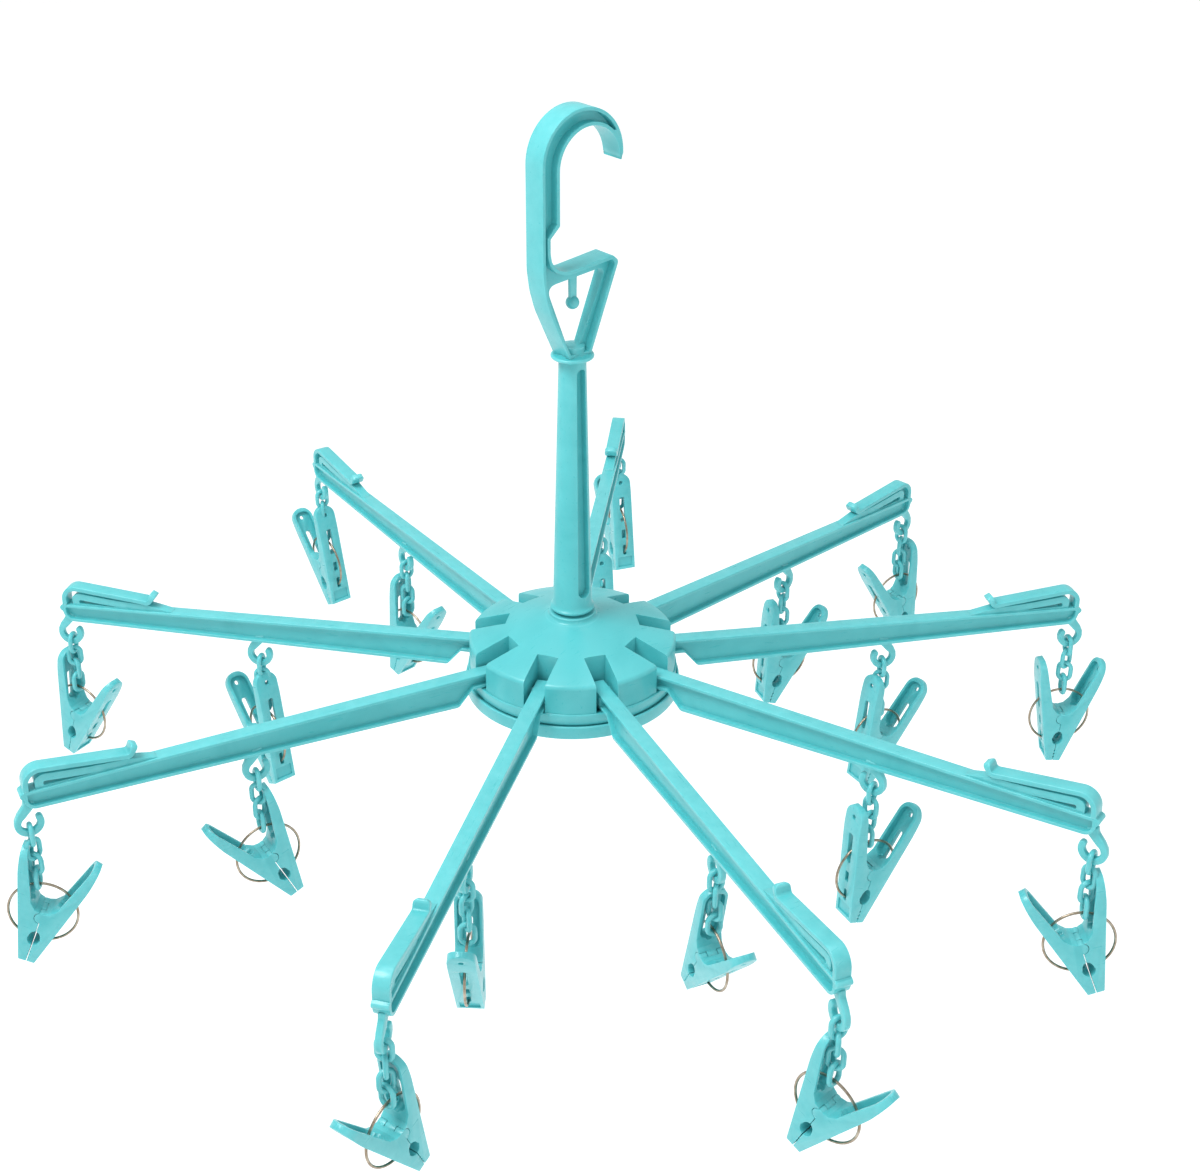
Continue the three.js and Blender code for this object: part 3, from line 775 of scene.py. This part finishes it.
LINKS = 4
LINK_LENGTH = 11.6
LINK_WIRE = 2.2
LINK_PITCH = LINK_LENGTH - 2 * LINK_WIRE + 0.1
RING_DROP = (LINKS - 1) * LINK_PITCH + LINK_LENGTH - LINK_WIRE * 1.5 - 0.6 + 0.15
ARM_YAW = [4.7, -5.5, -6, -6, -1.7, -3.4, 6.4, 4.1, -3.9]
ARM_LIFT = [-1, -0.7, 0.8, 0.7, -0.2, 0.6, 0.7, 1.2, 3]
HANG = {
    "outer": [
        (-35.4, 5, 0, 0),
        (169.6, 17, 0, 0),
        (69.6, 25, 0, 0),
        (86, 25, -2, 0),
        (-72.4, 19, 0, 0),
        (-40.4, 22, 0, 0),
        (193, 25, 0, -2),
        (-84, 25, 0, -2),
        (139.6, 21, 0, 0),
    ],
    "inner": [
        (-10, 21, 0, 0),
        (-20.4, 17, 0, 0),
        (64.6, 25, 0, 0),
        (-85.4, 18, 0, 0),
        (91, 25, 0, 0),
        (169.6, 25, 0, -2),
        (-134, 16, 0, 0),
        (-106, 29, 0, -2),
        (-14, 16, 0, 0),
    ],
}

arm_data = arm_mesh()
tongue_data = tongue_mesh()
free_leg = leg_mesh(False)
spring_leg = moved(leg_mesh(True), turn(180))
ring_data = smooth(ring_mesh())
link_data = smooth(link_mesh())


def add_peg(label, arm_matrix, direction, kind, number, hang):
    yaw, tilt, roll, slide = hang
    spot = arm_matrix @ Vector((EYE_X[kind] * MM, 0, (DEEP - EYE_DROP) * MM))
    top = Matrix.Translation(spot) @ shift(z=-3.3 + LINK_WIRE / 2 + 1) @ turn(direction)
    yaw -= direction
    lean = turn(tilt, "Y") @ turn(roll, "X")
    across = lean.to_3x3() @ Vector((0, 1, 0))
    ring_top = (Vector((0, 0, 1)) - across * across.z).normalized() * RING_R
    sag = RING_R - math.sqrt(RING_R**2 - slide**2)
    middle = shift(slide - ring_top.x, -ring_top.y, -RING_DROP - ring_top.z + sag)
    pose = top @ turn(yaw) @ middle @ lean
    body = f"{kind}_peg_{number}"
    add(label + "_leg_a", spring_leg, pose, body, PEG, "peg", body + "_spring_leg")
    add(label + "_leg_b", free_leg, pose, body + "_jaw", PEG, "peg", body + "_free_leg")
    add(label + "_ring", ring_data, pose, body, STEEL, "steel")
    twist = (yaw - 90 * (LINKS - 1)) % 180
    twist = twist - 180 if twist > 90 else twist
    for i in range(LINKS):
        spin = 90 + i * (90 + twist / (LINKS - 1))
        z = LINK_WIRE / 2 - LINK_LENGTH / 2 - i * LINK_PITCH
        add(f"{label}_link_{i + 1}", link_data, top @ turn(spin) @ shift(z=z), body, PEG, "peg")


for i in range(ARMS):
    number = i + 1
    pivot = Vector(joints[f"arm_{number}_fold"]["pos_m"])
    direction = TURN + PITCH * i + ARM_YAW[i]
    matrix = Matrix.Translation(pivot) @ turn(direction) @ turn(-ARM_LIFT[i], "Y")
    add(f"arm_beam_{number}", arm_data, matrix, f"arm_{number}", TURQUOISE, "frame", f"arm_{number}")
    tongue = tongue_data.copy()
    tongue.materials.append(TURQUOISE)
    strip = bpy.data.objects.new(f"tongue_strip_{number}", tongue)
    bpy.context.scene.collection.objects.link(strip)
    strip.matrix_world = matrix
    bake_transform(strip)
    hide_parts(f"clip_tongue_{number}")
    for kind in ("outer", "inner"):
        add_peg(f"{kind}_clip_{number}", matrix, direction, kind, number, HANG[kind][i])

# ---- studio ----
floor_z = cad_low.z - 0.25
floor_mesh = bpy.data.meshes.new("floor")
corners = [(x, y, floor_z) for x, y in ((-9, -9), (9, -9), (9, 9), (-9, 9))]
floor_mesh.from_pydata(corners, [], [(0, 1, 2, 3)])
floor = bpy.data.objects.new("floor", floor_mesh)
bpy.context.scene.collection.objects.link(floor)
paper = bpy.data.materials.new("paper")
paper.use_nodes = True
paper_shader = paper.node_tree.nodes["Principled BSDF"]
paper_shader.inputs["Base Color"].default_value = (0.6, 0.6, 0.6, 1)
paper_shader.inputs["Roughness"].default_value = 0.9
paper_shader.inputs["Emission Color"].default_value = (1, 1, 1, 1)
paper_shader.inputs["Emission Strength"].default_value = 0.6
floor_mesh.materials.append(paper)

world = bpy.data.worlds.new("studio")
world.use_nodes = True
world.node_tree.nodes["Background"].inputs["Color"].default_value = (1, 1, 1, 1)
world.node_tree.nodes["Background"].inputs["Strength"].default_value = 0.62
bpy.context.scene.world = world


def softbox(name, location, target, size, watts):
    data = bpy.data.lights.new(name, "AREA")
    data.shape = "RECTANGLE"
    data.size = size[0]
    data.size_y = size[1]
    data.energy = watts
    lamp = bpy.data.objects.new(name, data)
    bpy.context.scene.collection.objects.link(lamp)
    lamp.location = location
    lamp.rotation_euler = (Vector(target) - Vector(location)).to_track_quat("-Z", "Y").to_euler()


hub_spot = (POLE_X * MM, 0, PIVOT_Z * MM)
softbox("key", (-0.75, 0.1, 1.1), hub_spot, (0.7, 0.6), 17)
softbox("fill", (-0.3, -1.4, 0.3), hub_spot, (0.8, 0.8), 2.5)
softbox("top", (0.2, 0.3, 1.4), hub_spot, (1.0, 1.0), 5)
bpy.context.scene.view_settings.view_transform = "Standard"
bpy.context.scene.view_settings.look = "None"
